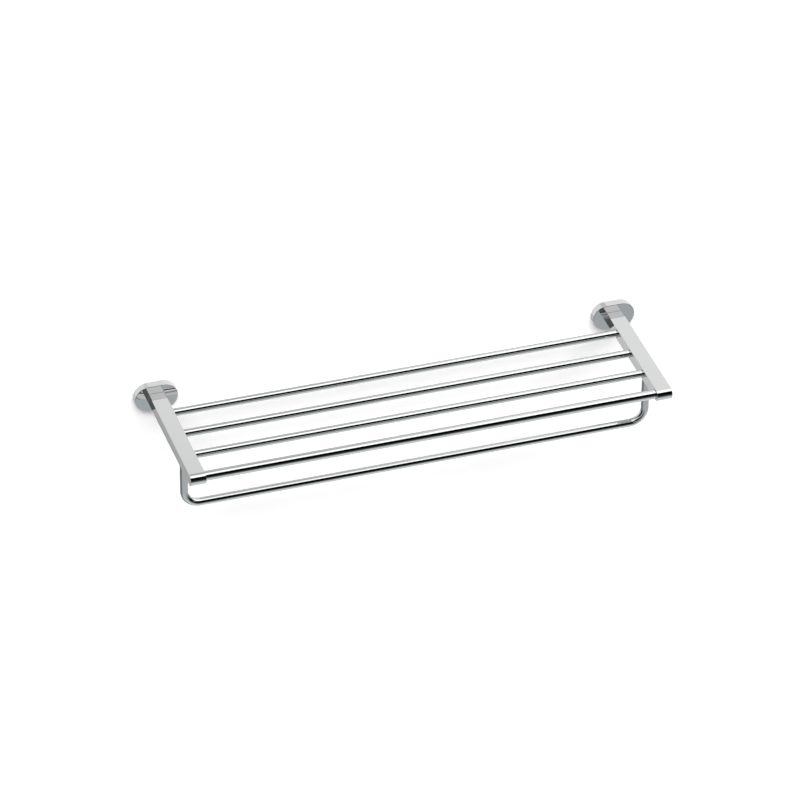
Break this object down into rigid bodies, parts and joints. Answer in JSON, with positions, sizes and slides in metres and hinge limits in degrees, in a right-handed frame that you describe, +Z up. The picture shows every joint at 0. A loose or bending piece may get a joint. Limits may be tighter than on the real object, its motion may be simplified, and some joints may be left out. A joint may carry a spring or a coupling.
{
  "type": "towel rack with shelf",
  "caption": "Chrome wall rack for towels: flat arms on oblong roses carry a shelf of round rods, with a bent towel rail hung beneath.",
  "frame": {"origin": "on the wall plane, midway between the two roses, at the height of the arms' centre lines", "axes": "+X along the rods to the user's right, +Y into the wall, +Z up; the shelf reaches out along -Y"},
  "size_m": [0.655, 0.1957, 0.1035],
  "materials": {
    "chrome": "mirror polished",
    "zinc_plate": "dull zinc plated",
    "stainless": "plain turned"
  },
  "bodies": {
    "root": {"arm_left": "chrome", "arm_right": "chrome", "shelf_rod_1": "chrome", "shelf_rod_2": "chrome", "shelf_rod_3": "chrome", "front_rod": "chrome", "towel_rail": "chrome", "rose_cover_left": "chrome", "rose_cover_right": "chrome", "wall_bracket_left": "zinc_plate", "wall_bracket_right": "zinc_plate", "rose_set_screw_left": "stainless", "rose_set_screw_right": "stainless", "arm_screw_left_outer": "stainless", "arm_screw_left_inner": "stainless", "arm_screw_right_outer": "stainless", "arm_screw_right_inner": "stainless", "arm_washer_left_outer": "stainless", "arm_washer_left_inner": "stainless", "arm_washer_right_outer": "stainless", "arm_washer_right_inner": "stainless"}
  },
  "joints": []
}
